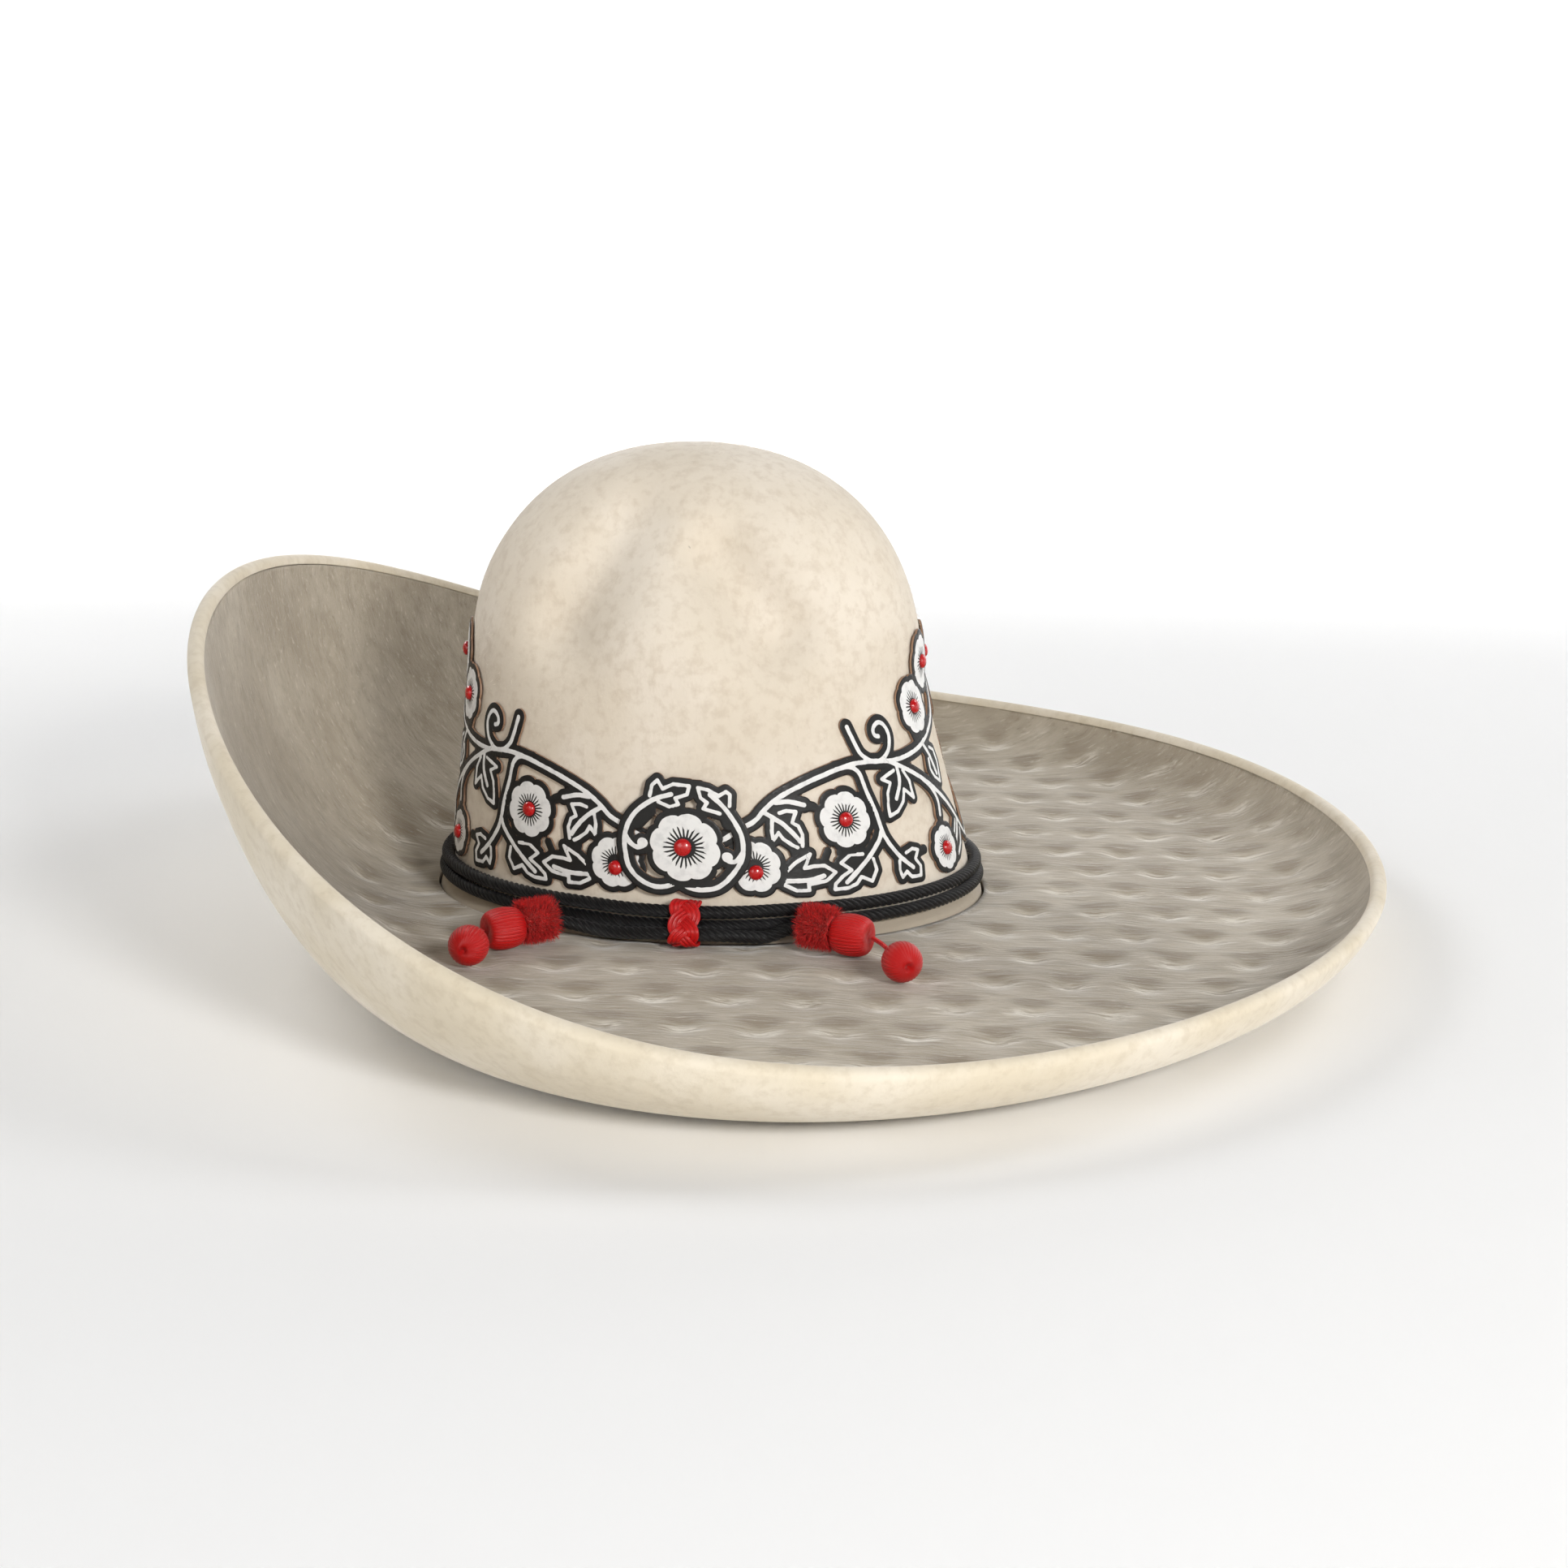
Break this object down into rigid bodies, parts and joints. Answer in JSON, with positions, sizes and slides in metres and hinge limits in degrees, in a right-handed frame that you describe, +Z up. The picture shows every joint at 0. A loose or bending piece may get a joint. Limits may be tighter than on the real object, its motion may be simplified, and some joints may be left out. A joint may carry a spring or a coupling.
{
  "type": "sombrero",
  "caption": "Wide-brimmed felt sombrero with a raised back, dented crown, cut-out leather flower trim and a rope hatband with sliding knot and tassels.",
  "frame": {"origin": "on the ground under the centre of the hat's bounding box, hat standing on the flat underside of its brim", "axes": "+X towards the front of the hat, away from the raised back; +Z up; -Y is the side with the knot and the tassels"},
  "size_m": [0.4679, 0.611, 0.1855],
  "materials": {
    "crown_felt": "cream fur felt, short nap",
    "brim_felt": "brushed greyish-beige felt, quilted",
    "under_felt": "cream felt, smooth",
    "buckram": "stiffened woven interlining",
    "spring_wire": "drawn spring wire",
    "sweat_leather": "tan sweatband leather",
    "bow_ribbon": "thin leather lace",
    "trim_leather": "cut-out leather painted black and white, raw tan edges",
    "stud_red": "glossy domed stud",
    "black_rope": "twisted satin cord",
    "red_cord": "satin cord and thread",
    "red_chenille": "fuzzy chenille"
  },
  "bodies": {
    "hat": {"bead_left": "red_cord", "bead_right": "red_cord", "brim_stiffener": "buckram", "brim_top_felt": "brim_felt", "brim_under_felt": "under_felt", "crown": "crown_felt", "hatband_rope": "black_rope", "medallion_far": "trim_leather", "medallion_near": "trim_leather", "rim_wire": "spring_wire", "ruffle_left": "red_chenille", "ruffle_right": "red_chenille", "stud_far_back_main": "stud_red", "stud_far_back_side": "stud_red", "stud_far_back_top": "stud_red", "stud_far_back_tucked": "stud_red", "stud_far_back_upper": "stud_red", "stud_far_front_main": "stud_red", "stud_far_front_side": "stud_red", "stud_far_front_top": "stud_red", "stud_far_front_tucked": "stud_red", "stud_far_front_upper": "stud_red", "stud_far_medallion": "stud_red", "stud_near_back_main": "stud_red", "stud_near_back_side": "stud_red", "stud_near_back_top": "stud_red", "stud_near_back_tucked": "stud_red", "stud_near_back_upper": "stud_red", "stud_near_front_main": "stud_red", "stud_near_front_side": "stud_red", "stud_near_front_top": "stud_red", "stud_near_front_tucked": "stud_red", "stud_near_front_upper": "stud_red", "stud_near_medallion": "stud_red", "sweatband": "sweat_leather", "sweatband_bow": "bow_ribbon", "tail_left": "black_rope", "tail_right": "black_rope", "vine_panel_back": "trim_leather", "vine_panel_front": "trim_leather"},
    "knot": {"slider_knot": "red_cord"},
    "loop_right": {"loop_right": "red_cord"},
    "ball_right": {"ball_right": "red_cord"},
    "loop_left": {"loop_left": "red_cord"},
    "ball_left": {"ball_left": "red_cord"}
  },
  "joints": [
    {"name": "slider_knot_slide", "type": "slide", "parent": "hat", "child": "knot", "axis": [1, 0, 0], "range_m": [-0.004, 0.004]},
    {"name": "loop_swing_right", "type": "hinge", "parent": "hat", "child": "loop_right", "pos_m": [0.03509, -0.10597, 0.0143], "axis": [0, 0, 1], "range_deg": [-45, 55]},
    {"name": "ball_lift_right", "type": "hinge", "parent": "loop_right", "child": "ball_right", "pos_m": [0.04311, -0.12464, 0.0139], "axis": [-0.9188, -0.3947, 0], "range_deg": [0, 60]},
    {"name": "loop_swing_left", "type": "hinge", "parent": "hat", "child": "loop_left", "pos_m": [-0.10984, -0.11576, 0.0143], "axis": [0, 0, 1], "range_deg": [-40, 50]},
    {"name": "ball_lift_left", "type": "hinge", "parent": "loop_left", "child": "ball_left", "pos_m": [-0.11074, -0.12346, 0.0139], "axis": [-0.9932, 0.1161, 0], "range_deg": [0, 60]}
  ]
}
